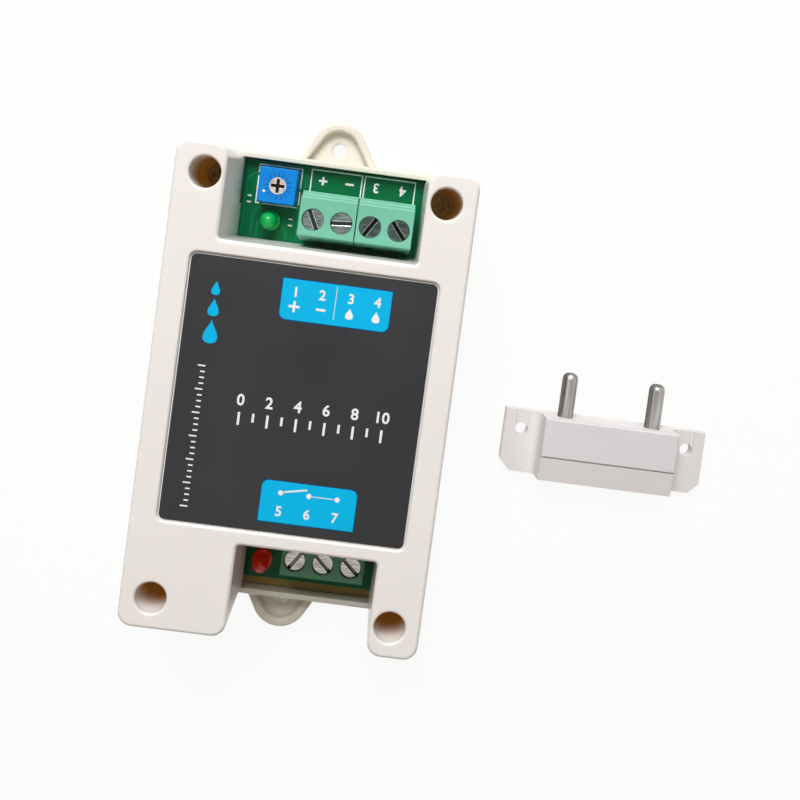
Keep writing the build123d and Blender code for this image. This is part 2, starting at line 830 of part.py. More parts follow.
# Driver transistor: small body with two leads on one side and one on the other
with BuildPart() as driver_transistor:
    with BuildSketch(Plane.XY.offset(board_top)):
        with Locations((transistor_x, transistor_y)):
            Rectangle(transistor_width, transistor_length)
    extrude(amount=transistor_height)
    transistor_edge = transistor_length / 2
    with BuildSketch(Plane.XY.offset(board_top)):
        with Locations((transistor_x, transistor_y - transistor_edge)):
            with GridLocations(transistor_lead_pitch, 0, 2, 1):
                Rectangle(
                    transistor_lead_width,
                    transistor_lead_reach,
                    align=(Align.CENTER, Align.MAX),
                )
        with Locations((transistor_x, transistor_y + transistor_edge)):
            Rectangle(
                transistor_lead_width,
                transistor_lead_reach,
                align=(Align.CENTER, Align.MIN),
            )
    extrude(amount=flat_lead)

# Two flat diodes, one for the supply and one across the relay's coil
with BuildPart() as diodes:
    with BuildSketch(Plane.XY.offset(board_top)):
        with Locations((diode_x, diode_y)):
            with GridLocations(diode_spacing, 0, 2, 1):
                Rectangle(diode_width, diode_length)
    extrude(amount=diode_height)
    chamfer(diodes.faces().group_by(Axis.Z)[-1].edges(), flat_lead)

# Column of chip resistors
with BuildPart() as resistors:
    with BuildSketch(Plane.XY.offset(board_top)):
        with Locations((resistor_x, resistor_y)):
            with GridLocations(0, resistor_spacing, 1, resistor_count):
                Rectangle(chip_part_length, chip_part_width)
    extrude(amount=resistor_height)

# Row of ceramic chip capacitors
with BuildPart() as ceramic_capacitors:
    with BuildSketch(Plane.XY.offset(board_top)):
        with Locations((ceramic_x, ceramic_y)):
            with GridLocations(ceramic_spacing, 0, ceramic_count, 1):
                Rectangle(chip_part_width, chip_part_length)
    extrude(amount=ceramic_height)

# Probe housing: flange with two grooved holes and a block that sockets the pins
probe_back = flange_depth / 2
lid_edge = probe_back - lid_depth
lid_bed = probe_block_height + lid_proud - lid_thickness
pocket_floor = pin_axis_height - pin_diameter / 2 - probe_pocket_gap
pin_places = [probe_x + side * pin_spacing / 2 for side in (-1, 1)]
flange_hole_places = [
    (probe_x + side * flange_hole_spacing / 2, probe_y + flange_hole_y) for side in (-1, 1)
]
with BuildPart() as probe_housing:
    with BuildSketch() as flange_plan:
        with Locations((probe_x, probe_y)):
            Rectangle(flange_length, flange_depth)
        chamfer(flange_plan.vertices().group_by(Axis.Y)[0], flange_chamfer)
    extrude(amount=flange_thickness)
    with BuildSketch(Plane.XY.offset(flange_thickness)):
        with Locations(*flange_hole_places):
            Rectangle(flange_hole, flange_depth, align=(Align.CENTER, Align.MIN))
    extrude(amount=-flange_groove, mode=Mode.SUBTRACT)
    with Locations(*[(x, y, flange_thickness) for x, y in flange_hole_places]):
        Hole(flange_hole / 2)
    probe_section = Plane(origin=(probe_x, probe_y, 0), x_dir=(0, 1, 0), z_dir=(1, 0, 0))
    with BuildSketch(probe_section):
        with BuildLine():
            Polyline(
                (-probe_back, 0),
                (-probe_back, probe_block_height - probe_block_slope),
                (lid_edge, probe_block_height),
                (lid_edge, lid_bed),
                (probe_back, lid_bed),
                (probe_back, 0),
                close=True,
            )
        make_face()
    extrude(amount=probe_block_length / 2, both=True)
    side_roots = probe_housing.edges().filter_by(Axis.Y).filter_by(
        lambda edge: abs(edge.center().Z - flange_thickness) < flange_groove / 2
        and abs(abs(edge.center().X - probe_x) - probe_block_length / 2) < flange_groove / 2
    )
    fillet(side_roots, probe_root_round)
    with BuildSketch(Plane.XY.offset(lid_bed)):
        with Locations((probe_x, probe_y + probe_back - lid_depth / 2)):
            Rectangle(probe_block_length - 2 * probe_wall, lid_depth - 2 * probe_wall)
    extrude(amount=pocket_floor - lid_bed, mode=Mode.SUBTRACT)
    for x in pin_places:
        face_place = (x, probe_y + probe_back, pin_axis_height)
        with Locations(Plane(origin=face_place, x_dir=(1, 0, 0), z_dir=(0, 1, 0))):
            Hole(pin_diameter / 2 + pin_gap, depth=probe_wall + pin_tail)

# Probe lid over the potted pocket
with BuildPart() as probe_lid:
    with BuildSketch(Plane.XY.offset(lid_bed)):
        with Locations((probe_x, probe_y + probe_back)):
            Rectangle(probe_block_length, lid_depth - lid_seam, align=(Align.CENTER, Align.MAX))
    extrude(amount=lid_thickness)
    chamfer(probe_lid.faces().sort_by(Axis.Z)[-1].edges(), lid_edge_chamfer)


# Probe pin: round rod with a tip domed in a few cones, held in the housing's wall
def probe_pin(x):
    tail_end = probe_y + probe_back - probe_wall - pin_tail
    pin_length = pin_tail + probe_wall + pin_reach
    with BuildPart() as pin:
        with BuildSketch(Plane(origin=(x, tail_end, pin_axis_height))):
            with BuildLine():
                Polyline(
                    (0, pin_length),
                    (0, 0),
                    (pin_diameter / 2, 0),
                    *dome_points(pin_diameter / 2 - pin_tip, pin_length - pin_tip, pin_tip),
                    close=True,
                )
            make_face()
        revolve(axis=Axis((x, tail_end, pin_axis_height), (0, 1, 0)))
    return pin.part


pieces = {
    "base_tray": base_tray.part,
    "top_cover": top_cover.part,
    "cover_screws": cover_screws.part,
    "front_label": front_label.part,
    "circuit_board": circuit_board.part,
    "trimmer_body": trimmer_body.part,
    "trimmer_rotor": trimmer_rotor.part,
    "trimmer_leads": trimmer_leads.part,
    "green_led": green_led,
    "red_led": red_led,
    "led_leads": led_leads.part,
    "relay": relay.part,
    "relay_pins": relay_pins.part,
    "smoothing_capacitor": smoothing_capacitor.part,
    "comparator_chip": comparator_chip.part,
    "voltage_regulator": voltage_regulator.part,
    "driver_transistor": driver_transistor.part,
    "diodes": diodes.part,
    "resistors": resistors.part,
    "ceramic_capacitors": ceramic_capacitors.part,
    "probe_housing": probe_housing.part,
    "probe_lid": probe_lid.part,
    "probe_pin_left": probe_pin(pin_places[0]),
    "probe_pin_right": probe_pin(pin_places[1]),
}
pieces.update(terminal_pieces)

os.makedirs("parts", exist_ok=True)
for name, piece in pieces.items():
    piece.label = name
    export_step(piece, f"parts/{name}.step")
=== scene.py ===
import math

import bpy
import numpy as np
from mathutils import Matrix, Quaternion, Vector


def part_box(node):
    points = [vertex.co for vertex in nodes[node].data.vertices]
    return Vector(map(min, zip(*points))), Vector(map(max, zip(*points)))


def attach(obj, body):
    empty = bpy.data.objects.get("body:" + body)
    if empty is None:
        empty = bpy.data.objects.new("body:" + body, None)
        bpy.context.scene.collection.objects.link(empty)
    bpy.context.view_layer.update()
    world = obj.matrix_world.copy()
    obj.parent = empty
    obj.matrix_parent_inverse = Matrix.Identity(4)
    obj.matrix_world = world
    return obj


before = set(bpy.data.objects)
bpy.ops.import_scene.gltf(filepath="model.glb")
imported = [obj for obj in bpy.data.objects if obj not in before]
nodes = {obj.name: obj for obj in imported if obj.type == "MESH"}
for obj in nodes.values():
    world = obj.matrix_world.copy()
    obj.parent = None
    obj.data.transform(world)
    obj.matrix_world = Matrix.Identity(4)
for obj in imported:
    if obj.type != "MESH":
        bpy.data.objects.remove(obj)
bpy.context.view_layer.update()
scene = bpy.context.scene
scene.view_settings.view_transform = "Standard"
mm = 0.001
print("frame loaded,", len(nodes), "nodes")


# hex text, as a colour picker shows it, to linear light
def linear(hexText):
    srgb = np.array([int(hexText[i:i + 2], 16) for i in (1, 3, 5)]) / 255
    light = np.where(srgb <= 0.04045, srgb / 12.92, ((srgb + 0.055) / 1.055) ** 2.4)
    return (*light.tolist(), 1.0)


# one node with its settings; an input is a value or the socket that feeds it
def addNode(tree, kind, inputs=None, **settings):
    node = tree.nodes.new("ShaderNode" + kind)
    for name, value in settings.items():
        setattr(node, name, value)
    for name, value in (inputs or {}).items():
        if isinstance(value, bpy.types.NodeSocket):
            tree.links.new(value, node.inputs[name])
        else:
            node.inputs[name].default_value = value
    return node


# new material with its principled shader and the object's own coordinates
def startMaterial(name, surface):
    material = bpy.data.materials.new(name)
    material.use_nodes = True
    tree = material.node_tree
    shader = tree.nodes["Principled BSDF"]
    for socket, value in surface.items():
        shader.inputs[socket].default_value = value
    place = addNode(tree, "TexCoord").outputs["Object"]
    return material, tree, shader, place


def dress(material, names):
    for name in names:
        slots = nodes[name].data.materials
        slots.clear()
        slots.append(material)


# camera over the case, a little towards its top end, with the picture turned about 8 degrees
cameraSet = {
    "focalPixels": 916.13, "picturePixels": 800, "sensor": 36.0, "shiftY": -0.2, "clip": (0.005, 20.0),
    "place": (10.186, 33.531, 181.610),  # millimetres
    "turn": (-0.02871, -0.01903, 0.13326),  # axis times angle in radians
}
cameraData = bpy.data.cameras.new("camera")
cameraData.sensor_width = cameraSet["sensor"]
cameraData.lens = cameraSet["focalPixels"] * cameraData.sensor_width / cameraSet["picturePixels"]
cameraData.shift_y = cameraSet["shiftY"]
cameraData.clip_start, cameraData.clip_end = cameraSet["clip"]
camera = bpy.data.objects.new("camera", cameraData)
scene.collection.objects.link(camera)
scene.camera = camera
turn = Vector(cameraSet["turn"])
camera.rotation_mode = "QUATERNION"
camera.rotation_quaternion = Quaternion(turn.normalized(), turn.length)
camera.location = Vector(cameraSet["place"]) * mm
print("camera set")

# soft box beyond the top end and a weaker one from the left; metres and watts
lightSet = [
    {"name": "softBox", "place": (-0.08, 0.48, 0.52), "aim": (0.01, 0.0, 0.01), "size": 0.36, "power": 5.3},
    {"name": "sideBox", "place": (-0.50, -0.10, 0.60), "aim": (0.01, 0.0, 0.01), "size": 0.50, "power": 0.2},
]
for spec in lightSet:
    lampData = bpy.data.lights.new(spec["name"], "AREA")
    lampData.shape = "SQUARE"
    lampData.size = spec["size"]
    lampData.energy = spec["power"]
    lamp = bpy.data.objects.new(spec["name"], lampData)
    lamp.location = spec["place"]
    lamp.rotation_mode = "QUATERNION"
    lamp.rotation_quaternion = (Vector(spec["aim"]) - Vector(spec["place"])).to_track_quat("-Z", "Y")
    scene.collection.objects.link(lamp)


# 1 for a ray from the camera, a mirror or clear stuff, 0 for a ray that lights a surface
def seenRays(tree):
    rays = addNode(tree, "LightPath").outputs
    mirrored = addNode(tree, "Math", {0: rays["Is Camera Ray"], 1: rays["Is Glossy Ray"]}, operation="MAXIMUM")
    through = addNode(tree, "Math", {0: mirrored.outputs[0], 1: rays["Is Transmission Ray"]}, operation="MAXIMUM")
    return through.outputs[0]


# room light: even, warm and dim where it lights, white where it is seen or mirrored
roomSet = {"seen": "#FFFFFF", "fill": "#FFEBD2", "light": 0.2}
room = bpy.data.worlds.new("room")
scene.world = room
room.use_nodes = True
roomTree = room.node_tree
roomTree.nodes.clear()
seen = seenRays(roomTree)
level = addNode(roomTree, "MapRange", {"Value": seen, "To Min": roomSet["light"], "To Max": 1.0})
tint = addNode(
    roomTree, "Mix", {0: seen, 6: linear(roomSet["fill"]), 7: linear(roomSet["seen"])}, data_type="RGBA"
)
backdrop = addNode(roomTree, "Background", {"Color": tint.outputs[2], "Strength": level.outputs[0]})
addNode(roomTree, "OutputWorld", {"Surface": backdrop.outputs[0]})

# floor: a pale disc in metres, radius r and angle a on a grid, lit from itself by "lift" where it is seen
floorSet = {
    "inner": 0.01, "outer": 1.6, "rings": 12, "spokes": 48, "drop": 0.00005,
    "colour": "#E6E4E1", "roughness": 0.9, "glow": "#FFFFFF", "lift": 0.93,
}
rings, spokes = floorSet["rings"], floorSet["spokes"]
r, a = np.meshgrid(
    np.linspace(floorSet["inner"], floorSet["outer"], rings), np.linspace(0, 2 * math.pi, spokes + 1)[:-1],
    indexing="ij",
)
floorPoints = np.stack([r * np.cos(a), r * np.sin(a), np.full_like(r, -floorSet["drop"])], -1).reshape(-1, 3)
i, j = np.meshgrid(np.arange(rings - 1), np.arange(spokes), indexing="ij")
k = (j + 1) % spokes
floorQuads = np.stack([i * spokes + j, (i + 1) * spokes + j, (i + 1) * spokes + k, i * spokes + k], -1).reshape(-1, 4)
floorFaces = floorQuads.tolist() + [list(range(spokes))]
floorMesh = bpy.data.meshes.new("floor")
floorMesh.from_pydata(floorPoints.tolist(), [], floorFaces)
floor = bpy.data.objects.new("floor", floorMesh)
scene.collection.objects.link(floor)
floorMaterial = bpy.data.materials.new("pale paper")
floorMaterial.use_nodes = True
floorTree = floorMaterial.node_tree
paper = floorTree.nodes["Principled BSDF"]
paper.inputs["Base Color"].default_value = linear(floorSet["colour"])
paper.inputs["Roughness"].default_value = floorSet["roughness"]
glow = addNode(floorTree, "Emission", {"Color": linear(floorSet["glow"]), "Strength": 1.0})
share = addNode(floorTree, "Math", {0: seenRays(floorTree), 1: floorSet["lift"]}, operation="MULTIPLY")
pale = addNode(floorTree, "MixShader", {0: share.outputs[0], 1: paper.outputs[0], 2: glow.outputs[0]})
floorTree.links.new(pale.outputs[0], floorTree.nodes["Material Output"].inputs["Surface"])
floorMesh.materials.append(floorMaterial)
print("floor and light set")

fineEdge = 0.12  # millimetres of rounding in the shading, where a piece names no other


# moulded plastic: slow drift of tone, a fine skin from the mould wall and a gloss that varies a little
def mouldedPlastic(spec):
    material, tree, shader, place = startMaterial(spec["name"], spec["surface"])
    drift = addNode(tree, "TexNoise", {"Vector": place, "Scale": 1 / (spec["driftSize"] * mm), "Detail": 3.0})
    tone = addNode(
        tree, "Mix", {0: drift.outputs[0], 6: linear(spec["colour"]), 7: linear(spec["shade"])}, data_type="RGBA"
    )
    colour = tone.outputs[2]
    if "wells" in spec:  # painted shade and a painted warm glow down the wells: distance from the nearest well's axis, and depth below the rim
        wells = spec["wells"]
        quarter = addNode(tree, "VectorMath", {0: place}, operation="ABSOLUTE").outputs[0]
        away = addNode(
            tree, "VectorMath", {0: quarter, 1: [c * mm for c in (*wells["axis"], 0)]}, operation="SUBTRACT"
        )
        flat = addNode(tree, "VectorMath", {0: away.outputs[0], 1: (1, 1, 0)}, operation="MULTIPLY")
        reach = addNode(tree, "VectorMath", {0: flat.outputs[0]}, operation="LENGTH").outputs["Value"]
        inside = addNode(tree, "Math", {0: reach, 1: wells["radius"] * mm}, operation="LESS_THAN").outputs[0]
        height = addNode(tree, "SeparateXYZ", {0: place}).outputs["Z"]
        deep = addNode(tree, "MapRange", {
            "Value": height, "From Min": wells["top"] * mm, "From Max": wells["low"] * mm,
        })
        # painted shade: the base colour turns brown with depth inside a well
        shaded = addNode(tree, "Math", {0: inside, 1: deep.outputs[0]}, operation="MULTIPLY").outputs[0]
        colour = addNode(
            tree, "Mix", {0: shaded, 6: colour, 7: linear(wells["colour"])}, data_type="RGBA"
        ).outputs[2]
        # painted glow: the walls give off warm brown light, stronger with depth
        through = addNode(tree, "Math", {0: shaded, 1: wells["through"]}, operation="MULTIPLY").outputs[0]
        shader.inputs["Emission Color"].default_value = linear(wells["glow"])
        tree.links.new(through, shader.inputs["Emission Strength"])
    tree.links.new(colour, shader.inputs["Base Color"])
    skin = addNode(tree, "TexNoise", {"Vector": place, "Scale": 1 / (spec["skinSize"] * mm), "Detail": 2.0})
    low, high = spec["roughness"]
    gloss = addNode(tree, "MapRange", {"Value": drift.outputs[0], "To Min": low, "To Max": high})
    tree.links.new(gloss.outputs[0], shader.inputs["Roughness"])
    edge = addNode(tree, "Bevel", {"Radius": spec.get("edge", fineEdge) * mm}, samples=6)
    bump = addNode(tree, "Bump", {
        "Height": skin.outputs[0], "Distance": spec["skinDepth"] * mm, "Strength": 1.0, "Normal": edge.outputs[0],
    })
    tree.links.new(bump.outputs[0], shader.inputs["Normal"])
    dress(material, spec["nodes"])
    return material


plasticSet = [
    {   # ABS, injection moulded in a polished tool: warm white, soft shine, light goes in a little way
        "name": "abs warm white",
        "nodes": ["top_cover"],
        "colour": "#F3F0EE", "shade": "#EEEAE7", "driftSize": 22, "skinSize": 0.55, "skinDepth": 0.003,
        "roughness": (0.17, 0.25), "edge": 0.45,
        # down the wells the walls get painted shade, brown and darker with depth, and a painted warm brown glow as if
        # light came through them
        "wells": {"axis": (20.4, 36.3), "radius": 2.8, "top": 26.2, "low": 20.0, "colour": "#8E6B42",
                  "glow": "#56330D", "through": 0.75},
        "surface": {"IOR": 1.53, "Subsurface Weight": 0.18, "Subsurface Radius": (1.0, 0.72, 0.5),
                    "Subsurface Scale": 0.0012},
    },
    {   # ABS of the tray, from another batch: creamier, the same soft shine
        "name": "abs cream",
        "nodes": ["base_tray"],
        "colour": "#E5E1D6", "shade": "#DFDBCE", "driftSize": 22, "skinSize": 0.55, "skinDepth": 0.003,
        "roughness": (0.2, 0.3), "edge": 0.3,
        "surface": {"IOR": 1.53, "Subsurface Weight": 0.18, "Subsurface Radius": (1.0, 0.72, 0.5),
                    "Subsurface Scale": 0.0012},
    },
    {   # polyamide, moulded: milky light green, satin
        "name": "polyamide light green",
        "nodes": ["power_terminal", "sensor_terminal"],
        "colour": "#70BBA2", "shade": "#69B399", "driftSize": 6, "skinSize": 0.3, "skinDepth": 0.003,
        "roughness": (0.3, 0.42), "edge": 0.3,
        "surface": {"IOR": 1.53, "Subsurface Weight": 0.15, "Subsurface Radius": (0.6, 1.0, 0.8),
                    "Subsurface Scale": 0.0006},
    },
    {   # polyamide, moulded: deeper green, satin
        "name": "polyamide green",
        "nodes": ["relay_terminal"],
        "colour": "#336D44", "shade": "#2D643D", "driftSize": 6, "skinSize": 0.3, "skinDepth": 0.003,
        "roughness": (0.36, 0.48),
        "surface": {"IOR": 1.53},
    },
    {   # thermoset, moulded: clear mid blue, slight shine
        "name": "thermoset blue",
        "nodes": ["trimmer_body"],
        "colour": "#0585DC", "shade": "#047BCE", "driftSize": 3, "skinSize": 0.25, "skinDepth": 0.004,
        "roughness": (0.38, 0.5),
        "surface": {"IOR": 1.55, "Specular IOR Level": 0.15},
    },
    {   # ABS, moulded in a spark-eroded tool: light grey, satin with a faint grain
        "name": "abs light grey",
        "nodes": ["probe_housing"],
        "colour": "#E6E3E3", "shade": "#E0DDDD", "driftSize": 9, "skinSize": 0.22, "skinDepth": 0.006,
        "roughness": (0.42, 0.55),
        "surface": {"IOR": 1.53},
    },
    {   # ABS lid from another batch: the same grey with a breath of violet
        "name": "abs violet grey",
        "nodes": ["probe_lid"],
        "colour": "#DFDBE0", "shade": "#DAD6DC", "driftSize": 9, "skinSize": 0.22, "skinDepth": 0.006,
        "roughness": (0.42, 0.55),
        "surface": {"IOR": 1.53},
    },
    {   # relay case, moulded polyester: deep blue, smooth
        "name": "polyester deep blue",
        "nodes": ["relay"],
        "colour": "#1E3F8E", "shade": "#1B3980", "driftSize": 6, "skinSize": 0.3, "skinDepth": 0.003,
        "roughness": (0.3, 0.42),
        "surface": {"IOR": 1.55},
    },
    {   # shrunk sleeve on the capacitor's can: black, glossy
        "name": "sleeve black",
        "nodes": ["smoothing_capacitor"],
        "colour": "#1B1B1F", "shade": "#222226", "driftSize": 4, "skinSize": 0.6, "skinDepth": 0.008,
        "roughness": (0.2, 0.3),
        "surface": {"IOR": 1.5},
    },
    {   # moulded epoxy on the chips: black, matt with fine filler grain
        "name": "epoxy black",
        "nodes": ["comparator_chip", "voltage_regulator", "driver_transistor", "diodes", "resistors"],
        "colour": "#1D1D1D", "shade": "#252524", "driftSize": 2, "skinSize": 0.12, "skinDepth": 0.006,
        "roughness": (0.55, 0.7),
        "surface": {"IOR": 1.55},
    },
    {   # fired ceramic: tan, dull
        "name": "ceramic tan",
        "nodes": ["ceramic_capacitors"],
        "colour": "#B8926B", "shade": "#A98561", "driftSize": 1, "skinSize": 0.15, "skinDepth": 0.005,
        "roughness": (0.5, 0.6),
        "surface": {"IOR": 1.6},
    },
    {   # polyester film printed on its face: charcoal, satin; the wide spread of its two tones is a painted sheen of light, cloudy patches
        "name": "film charcoal",
        "nodes": ["front_label"],
        "colour": "#17171B", "shade": "#373739", "driftSize": 16, "skinSize": 0.35, "skinDepth": 0.002,
        "roughness": (0.36, 0.46),
        "surface": {"IOR": 1.45, "Specular IOR Level": 0.35},
    },
]
for spec in plasticSet:
    mouldedPlastic(spec)
print("plastics dressed:", len(plasticSet))

markRange = (0.3, 0.7)  # the noise between these values is stretched over both tones of a metal
rubbedAndLitRange = (0.99, 0.92)  # cosine between the rounded and the flat normal, from plain face to rubbed and highlighted edge


# metal with fine marks: noise drawn out along one axis, so that the marks run as the tool ran
def workedMetal(spec):
    material, tree, shader, place = startMaterial(spec["name"], {"Metallic": 1.0})
    reach = [1 / (size * mm) for size in spec["markSize"]]
    drawn = addNode(tree, "Mapping", {"Vector": place, "Scale": reach})
    marks = addNode(tree, "TexNoise", {"Vector": drawn.outputs[0], "Scale": 1.0, "Detail": 4.0})
    clear = addNode(tree, "MapRange", {
        "Value": marks.outputs[0], "From Min": markRange[0], "From Max": markRange[1],
    })
    tone = addNode(
        tree, "Mix", {0: clear.outputs[0], 6: linear(spec["colour"]), 7: linear(spec["shade"])}, data_type="RGBA"
    )
    colour = tone.outputs[2]
    height = addNode(tree, "SeparateXYZ", {0: place}).outputs["Z"]
    if "rubbedAndLitEdge" in spec:  # lighter along edges, where the rounded normal leaves the face's own: rubbed plating and a painted highlight
        rounded = addNode(tree, "Bevel", {"Radius": spec["rubbedAndLitEdgeWidth"] * mm}, samples=8)
        own = addNode(tree, "NewGeometry").outputs["True Normal"]
        same = addNode(tree, "VectorMath", {0: rounded.outputs[0], 1: own}, operation="DOT_PRODUCT").outputs["Value"]
        rubbedAndLitMask = addNode(tree, "MapRange", {"Value": same, "From Min": rubbedAndLitRange[0], "From Max": rubbedAndLitRange[1]})
        colour = addNode(
            tree, "Mix", {0: rubbedAndLitMask.outputs[0], 6: colour, 7: linear(spec["rubbedAndLitEdge"])}, data_type="RGBA"
        ).outputs[2]
    if "slotTop" in spec:  # painted shade, with oil and dust, darkens the slot from just under the head's face down
        top, depth = spec["slotTop"] * mm, spec["slotFade"] * mm
        outOfSlot = addNode(tree, "MapRange", {"Value": height, "From Min": top - depth, "From Max": top})
        shadedAndSoiled = addNode(
            tree, "Mix", {0: outOfSlot.outputs[0], 6: linear(spec["slotShadeAndSoil"]), 7: colour}, data_type="RGBA"
        )
        # the slot's floor gets its own painted shade tone
        floorLine = (spec["slotTop"] - spec["slotDepth"]) * mm
        slotFloorMask = addNode(tree, "Math", {0: height, 1: floorLine}, operation="LESS_THAN")
        paintedSlotFloor = addNode(
            tree, "Mix", {0: slotFloorMask.outputs[0], 6: shadedAndSoiled.outputs[2], 7: linear(spec["paintedSlotFloor"])}, data_type="RGBA"
        )
        colour = paintedSlotFloor.outputs[2]
    if "paintedSideShade" in spec:  # painted shade down the sides of a lying rod: darker low on its sides, in place of the dark surroundings it mirrors
        low, high = spec["paintedSideShadeHeights"]
        sideShadeMask = addNode(tree, "MapRange", {"Value": height, "From Min": high * mm, "From Max": low * mm})
        colour = addNode(
            tree, "Mix", {0: sideShadeMask.outputs[0], 6: colour, 7: linear(spec["paintedSideShade"])}, data_type="RGBA"
        ).outputs[2]
    tree.links.new(colour, shader.inputs["Base Color"])
    low, high = spec["roughness"]
    gloss = addNode(tree, "MapRange", {"Value": marks.outputs[0], "To Min": low, "To Max": high})
    tree.links.new(gloss.outputs[0], shader.inputs["Roughness"])
    bump = addNode(tree, "Bump", {"Height": marks.outputs[0], "Distance": spec["markDepth"] * mm, "Strength": 1.0})
    if "edge" in spec:
        edge = addNode(tree, "Bevel", {"Radius": spec["edge"] * mm}, samples=8)
        tree.links.new(edge.outputs[0], bump.inputs["Normal"])
    tree.links.new(bump.outputs[0], shader.inputs["Normal"])
    dress(material, spec["nodes"])


clampScrews = [f"{block}_clamp_screw_{i}" for block in ("power", "sensor") for i in (1, 2)]
clampScrews += [f"relay_clamp_screw_{i}" for i in (1, 2, 3)]
clampCages = [name for name in nodes if "_clamp_cage_" in name]
slotLip = 0.1  # millimetres from a head's face down to where the painted shade and soil start
pinLow, pinHigh = (corner.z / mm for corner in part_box("probe_pin_left"))
pinShadeShares = (0.58, 0.88)  # of the pin's height: painted shade up to the first, none from the second
pinShadeHeights = [pinLow + part * (pinHigh - pinLow) for part in pinShadeShares]
metalSet = [
    *[
        {   # steel, turned and nickel plated: grey mirror with fine marks left by facing; its dark tones are a painted reflection of dark surroundings, set apart row by row; painted shade with soil in the slot
            "name": f"nickel on steel {row}", "nodes": names, "colour": dark, "shade": light,
            "markSize": (1.6, 0.16, 1.6), "markDepth": 0.010, "roughness": (0.16, 0.34), "edge": 0.15,
            "slotTop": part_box(names[0])[1].z / mm - slotLip, "slotFade": 0.2, "slotDepth": 0.62,
            "slotShadeAndSoil": slotShadeAndSoilTone, "paintedSlotFloor": sole, "rubbedAndLitEdge": rubbedAndLitEdge, "rubbedAndLitEdgeWidth": 0.24,
        }
        # each row's tones: darker base colour as painted reflection, then painted shade in the slot and on its floor,
        # then lighter edges
        for row, names, dark, light, slotShadeAndSoilTone, sole, rubbedAndLitEdge in (
            ("left", clampScrews[:2], "#3A4543", "#95A19E", "#262826", "#3A3B3B", "#E4EAE8"),
            ("right", clampScrews[2:4], "#1B2825", "#5F6F69", "#262826", "#161D1B", "#C4CEC9"),
            ("low", clampScrews[4:], "#77746A", "#C9C6BC", "#4A443A", "#6E675A", "#DEDBD1"),
        )
    ],
    {   # rotor, die cast and plated: silvery with a rosy cast, painted shade in the cross
        "name": "tin on zinc casting", "nodes": ["trimmer_rotor"], "colour": "#A2968D", "shade": "#D8CFC8",
        "markSize": (0.5, 0.5, 0.5), "markDepth": 0.012, "roughness": (0.22, 0.4),
        "slotTop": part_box("trimmer_rotor")[1].z / mm - slotLip, "slotFade": 0.3, "slotDepth": 0.62,
        "slotShadeAndSoil": "#33281F", "paintedSlotFloor": "#2B231C", "rubbedAndLitEdge": "#F3EEE9", "rubbedAndLitEdgeWidth": 0.2,
    },
    {   # brass strip, bent and nickel plated: greyer, with rolling marks
        "name": "nickel on brass", "nodes": clampCages, "colour": "#C9C3B2", "shade": "#B3AC99",
        "markSize": (0.1, 0.1, 1.5), "markDepth": 0.004, "roughness": (0.28, 0.45),
    },
    {   # steel, thread rolled, zinc plated and yellow passivated: brassy brown, a little dull
        "name": "yellow zinc on steel", "nodes": ["cover_screws"], "colour": "#8A6A3C", "shade": "#6E5430",
        "markSize": (0.4, 0.4, 0.4), "markDepth": 0.006, "roughness": (0.35, 0.55),
    },
    {   # copper, tinned: soft white metal
        "name": "tin on copper", "colour": "#D6D4CE", "shade": "#C2BFB7",
        "nodes": ["trimmer_leads", "led_leads", "relay_pins"] + [n for n in nodes if n.endswith("_contacts")],
        "markSize": (0.3, 0.3, 0.6), "markDepth": 0.004, "roughness": (0.3, 0.45),
    },
    {   # stainless rod, drawn and polished: grey mirror with long streaks along it
        "name": "stainless drawn", "nodes": ["probe_pin_left", "probe_pin_right"],
        "colour": "#6E6965", "shade": "#C4BFBA",
        "markSize": (0.55, 14.0, 0.55), "markDepth": 0.012, "roughness": (0.26, 0.4), "edge": 0.6,
        # painted shade darkens the lower sides of the pins
        "paintedSideShade": "#4A4642", "paintedSideShadeHeights": pinShadeHeights,
    },
]
for spec in metalSet:
    workedMetal(spec)
print("metals dressed:", len(metalSet))


# cast epoxy lamp: tinted and milky, the light goes right in
def castLamp(spec):
    material, tree, shader, place = startMaterial(spec["name"], {
        "IOR": 1.54, "Specular IOR Level": 0.35, "Roughness": 0.07,
        "Subsurface Weight": 0.55, "Subsurface Scale": 0.0015, "Subsurface Radius": spec["glow"],
        "Emission Color": linear(spec["colour"]), "Emission Strength": spec["lit"],
    })
    dome = addNode(tree, "Bevel", {"Radius": spec["edge"] * mm}, samples=8)
    tree.links.new(dome.outputs[0], shader.inputs["Normal"])
    cloud = addNode(tree, "TexNoise", {"Vector": place, "Scale": 1 / (spec["cloudSize"] * mm), "Detail": 2.0})
    tone = addNode(
        tree, "Mix", {0: cloud.outputs[0], 6: linear(spec["colour"]), 7: linear(spec["shade"])}, data_type="RGBA"
    )
    tree.links.new(tone.outputs[2], shader.inputs["Base Color"])
    dress(material, [spec["node"]])


castLamp({"name": "epoxy green", "node": "green_led", "colour": "#06AC53", "shade": "#059C4B",
          "glow": (0.2, 1.0, 0.4), "cloudSize": 1.2, "edge": 0.5, "lit": 0.06})
castLamp({"name": "epoxy red", "node": "red_led", "colour": "#D0240B", "shade": "#B81F09",
          "glow": (1.0, 0.15, 0.1), "cloudSize": 1.2, "edge": 0.5, "lit": 0.12})

